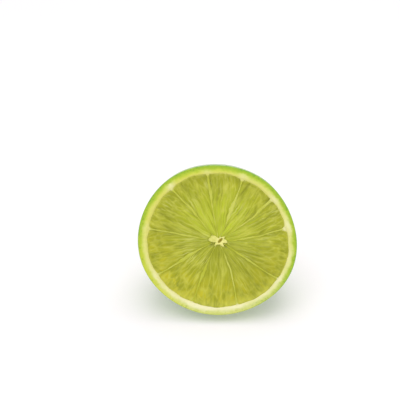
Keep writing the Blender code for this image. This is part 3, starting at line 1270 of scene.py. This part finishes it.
@dataclass
class Core:
    """The core: a star of pith with a slit off its middle, and a stalk of pith below."""

    fruit: Fruit
    columns: int = 180
    rings: int = 16
    slit_at: tuple[float, float] = (0.7, -0.02)
    slit_long: float = 1.15
    slit_short: float = 0.46
    slit_turn: float = 50.0
    slit_depth: float = 0.5
    slit_floor: float = 0.55
    slit_middle: float = 0.85
    ring_gather: float = 0.8
    rise: float = 0.22
    lumps: float = 0.14
    edge_dip: float = 0.12
    depth: float = 4.0
    stalk_share: float = 0.9

    def slit(self, angle: Rows, scale: float) -> Rows:
        """Gives points round the slit.

        Args:
            angle: Angles round it.
            scale: Its size against the real slit.

        Returns:
            The points, flat on the face.
        """
        turn = np.radians(angle - self.slit_turn)
        along = scale * self.slit_long * np.cos(turn)
        aside = scale * self.slit_short * np.sin(turn)
        lean = math.radians(self.slit_turn)
        across = self.slit_at[0] + along * math.cos(lean) - aside * math.sin(lean)
        up = self.slit_at[1] + along * math.sin(lean) + aside * math.cos(lean)
        return places(across, up, 0.0)

    def crown(self, points: Rows, share: float) -> Rows:
        """Gives the height of the uneven cushion, a share of the way from the slit to the edge."""
        lumps = self.lumps * roughness(points * 1.4) * (1 - share**3)
        return self.rise * (1 - share**4) + lumps - self.edge_dip * share**12

    def build(self, rest: Rest, finish: PithFinish) -> bpy.types.Object:
        """Builds and dresses the core.

        Args:
            rest: How the fruit lies.
            finish: Its finish.

        Returns:
            The piece.
        """
        angle = np.linspace(0, 360, self.columns, endpoint=False)
        edge = polar(angle, self.fruit.core_edge(angle), 0.0)
        lip = self.slit(angle, 1.0)
        plain = {"thick": 0.0, "clear": 0.5, "pale": 0.0}
        deep, foot_at = np.array([0, 0, -self.slit_depth]), np.array([0, 0, -self.depth])
        star = Surface()
        # Painted shade: the slit's floor and the ring round it are darker, towards the hollow colour.
        floor = star.add(np.array([*self.slit_at, -self.slit_depth]), cream=0.3, hollow=1.0, **plain)
        first = star.add(self.slit(angle, self.slit_floor) + deep, cream=0.3, hollow=1.0, **plain)
        star.add(self.slit(angle, self.slit_middle) + deep / 2, cream=0.5, hollow=0.9, **plain)
        for share in np.linspace(0, 1, self.rings + 1):
            points = lip + share**self.ring_gather * (edge - lip)
            points[..., 2] = self.crown(points, share)
            mottle = 0.5 + roughness(points * 1.1)
            tan = 0.3 * smooth(0.2, -1.4, points[:, 0])
            cream = (1.0 - 0.35 * mottle - 0.25 * share**6) * (1 - tan)
            star.add(points, cream=cream, hollow=0.3 * (1 - share) ** 14, **plain)
        star.add(edge * self.stalk_share + foot_at, cream=1.0, hollow=0.0, **plain)
        foot = star.add(foot_at, cream=1.0, hollow=0.0, **plain)
        star.close_tube(first, self.rings + 4, self.columns, (floor, foot))
        return star.make("core", rest, finish.material())


@dataclass
class Studio:
    """The pale floor, the soft light and the camera."""

    floor_side: float = 6.0
    floor_colour: Tint = (0.742, 0.702, 0.727, 1.0)
    floor_glow: float = 0.25
    white: Tint = (1.0, 1.0, 1.0, 1.0)
    world_strength: float = 0.66
    # Softboxes: name, place in metres, side and power in watts.
    softboxes: tuple[tuple[str, tuple[float, float, float], float, float], ...] = (
        ("key", (-0.12, -0.5, 0.98), 0.8, 4.0), ("top", (0.1, 0.25, 1.0), 0.8, 3.0),
    )
    azimuth: float = 1.5
    elevation: float = 27.5
    distance: float = 0.422
    lens: float = 111.0
    # What the camera turns about, and how far the view slides right and up from it.
    aim: tuple[float, float, float] = (0.0, -7.0, 27.0)
    slide: tuple[float, float] = (-5.99, 11.43)

    def build(self) -> None:
        """Builds the studio."""
        self.build_floor()
        self.build_light()
        self.build_camera()
        bpy.context.scene.view_settings.view_transform = "Standard"

    def build_floor(self) -> None:
        """Lays the floor."""
        mesh = bpy.data.meshes.new("floor")
        shaping = bmesh.new()
        bmesh.ops.create_grid(shaping, x_segments=1, y_segments=1, size=self.floor_side / 2)
        shaping.to_mesh(mesh)
        shaping.free()
        glow = {"Emission_Color": self.white, "Emission_Strength": self.floor_glow}
        mesh.materials.append(Recipe("floor").finish(Base_Color=self.floor_colour, Roughness=0.8, **glow))
        floor = bpy.data.objects.new("floor", mesh)
        bpy.context.scene.collection.objects.link(floor)

    def build_light(self) -> None:
        """Lights the studio from all round, with a soft key from above and in front."""
        world = bpy.data.worlds.new("studio")
        bpy.context.scene.world = world
        world.use_nodes = True
        background = world.node_tree.nodes["Background"].inputs
        background["Color"].default_value = self.white
        background["Strength"].default_value = self.world_strength
        for name, place, side, power in self.softboxes:
            lamp = bpy.data.lights.new(name, "AREA")
            lamp.size = side
            lamp.energy = power
            self.hang(name, lamp, Vector(place), -Vector(place))

    @staticmethod
    def hang(name: str, fitting: bpy.types.ID, place: Vector, way: Vector) -> bpy.types.Object:
        """Hangs a lamp or a camera.

        Args:
            name: Its name.
            fitting: The lamp's or the camera's data.
            place: Where it hangs.
            way: Which way it looks.

        Returns:
            The hung object.
        """
        hung = bpy.data.objects.new(name, fitting)
        hung.location = place
        hung.rotation_mode = "QUATERNION"
        hung.rotation_quaternion = way.to_track_quat("-Z", "Y")
        bpy.context.scene.collection.objects.link(hung)
        return hung

    def build_camera(self) -> None:
        """Sets up the camera."""
        turn, rise = math.radians(self.azimuth), math.radians(self.elevation)
        back = Vector((math.sin(turn) * math.cos(rise), -math.cos(turn) * math.cos(rise), math.sin(rise)))
        right = Vector((math.cos(turn), math.sin(turn), 0))
        up = back.cross(right)
        target = Vector(self.aim) * MM
        target += right * self.slide[0] * MM + up * self.slide[1] * MM
        lens = bpy.data.cameras.new("camera")
        lens.lens = self.lens
        bpy.context.scene.camera = self.hang("camera", lens, target + back * self.distance, -back)


def corners(box: tuple[Vector, Vector]) -> list[list[float]]:
    """Turns a box into plain lists."""
    return [list(corner) for corner in box]


def main() -> None:
    """Builds the dressed lime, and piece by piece."""
    logging.basicConfig(level=logging.INFO, format="%(name)s: %(message)s")
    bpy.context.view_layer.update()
    noise.seed_set(NOISE_SEED)
    fruit = Fruit()
    rest = Rest()
    pieces: list[bpy.types.Object] = [Peel(fruit).build(rest, PeelFinish())]
    flesh = PulpFinish().material()
    pieces += [PulpSegment(fruit, number).build(rest, flesh) for number in range(len(fruit.membranes))]
    pieces.append(Web(fruit).build(rest, PithFinish("membrane")))
    pieces.append(Core(fruit).build(rest, PithFinish("core")))
    for piece in pieces:
        LOG.info("%s has %d points", piece.name, len(piece.data.vertices))
    Studio().build()


if __name__ == "__main__":
    main()
